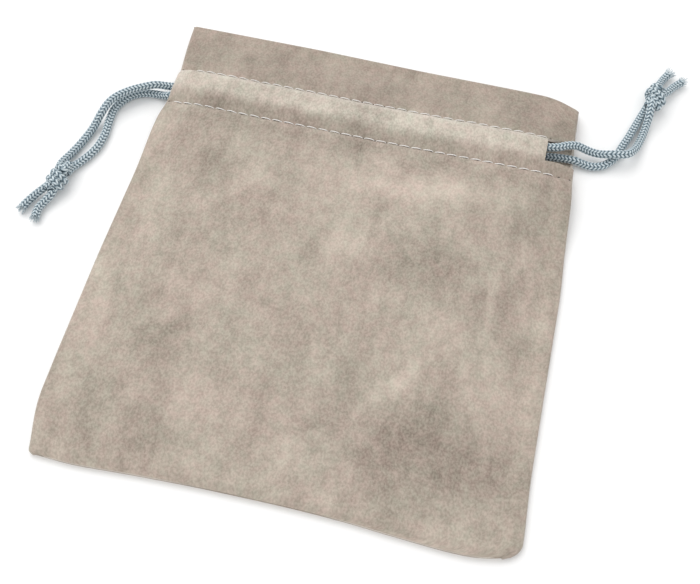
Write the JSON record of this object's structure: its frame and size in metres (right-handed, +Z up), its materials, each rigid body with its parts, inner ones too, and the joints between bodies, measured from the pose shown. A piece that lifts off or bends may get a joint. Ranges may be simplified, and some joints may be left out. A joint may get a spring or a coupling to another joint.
{
  "type": "drawstring gift pouch",
  "caption": "Soft suede-look gift pouch lying flat, with a stitched casing below its mouth edge and a knotted braided drawcord out of each side.",
  "frame": {"origin": "middle of the two cloth panels' bounding box, on the surface that the pouch lies on, without the cords", "axes": "+X across the pouch towards the side with the open slot, +Y towards the mouth, +Z up off the resting surface"},
  "size_m": [0.17, 0.1496, 0.008],
  "materials": {
    "front_cloth": "brushed suede nap",
    "back_cloth": "brushed suede nap",
    "thread": "matt sewing thread",
    "braid": "round braided yarn"
  },
  "bodies": {
    "pouch": {"front_panel": "front_cloth", "back_panel": "back_cloth", "front_lower_row_needle_thread": "thread", "front_lower_row_bobbin_thread": "thread", "front_upper_row_needle_thread": "thread", "front_upper_row_bobbin_thread": "thread", "back_lower_row_needle_thread": "thread", "back_lower_row_bobbin_thread": "thread", "back_upper_row_needle_thread": "thread", "back_upper_row_bobbin_thread": "thread", "side_and_bottom_seam_thread": "thread", "left_header_seam_thread": "thread", "right_header_seam_thread": "thread"},
    "right_cord": {"right_cord_run": "braid"},
    "right_cord_end": {"right_cord_front_end": "braid", "right_cord_back_end": "braid", "right_cord_knot": "braid", "right_cord_tail_1": "braid", "right_cord_tail_2": "braid"},
    "left_cord": {"left_cord_run": "braid"},
    "left_cord_end": {"left_cord_front_end": "braid", "left_cord_back_end": "braid", "left_cord_knot": "braid", "left_cord_tail_1": "braid", "left_cord_tail_2": "braid"}
  },
  "joints": [
    {"name": "right_cord_pull", "type": "slide", "parent": "pouch", "child": "right_cord", "axis": [1, 0, 0], "range_m": [0, 0.02], "deforming": ["front_panel", "back_panel", "front_lower_row_needle_thread", "front_lower_row_bobbin_thread", "front_upper_row_needle_thread", "front_upper_row_bobbin_thread", "back_lower_row_needle_thread", "back_lower_row_bobbin_thread", "back_upper_row_needle_thread", "back_upper_row_bobbin_thread", "side_and_bottom_seam_thread", "left_header_seam_thread"]},
    {"name": "right_cord_swing", "type": "hinge", "parent": "right_cord", "child": "right_cord_end", "pos_m": [0.06, 0.047, 0], "axis": [0, 0, 1], "range_deg": [-25, 25], "deforming": ["right_cord_front_end", "right_cord_back_end"]},
    {"name": "left_cord_pull", "type": "slide", "parent": "pouch", "child": "left_cord", "axis": [-1, 0, 0], "range_m": [0, 0.02], "deforming": ["right_header_seam_thread"]},
    {"name": "left_cord_swing", "type": "hinge", "parent": "left_cord", "child": "left_cord_end", "pos_m": [-0.06, 0.0415, 0], "axis": [0, 0, 1], "range_deg": [-25, 12], "deforming": ["left_cord_front_end", "left_cord_back_end"]}
  ]
}
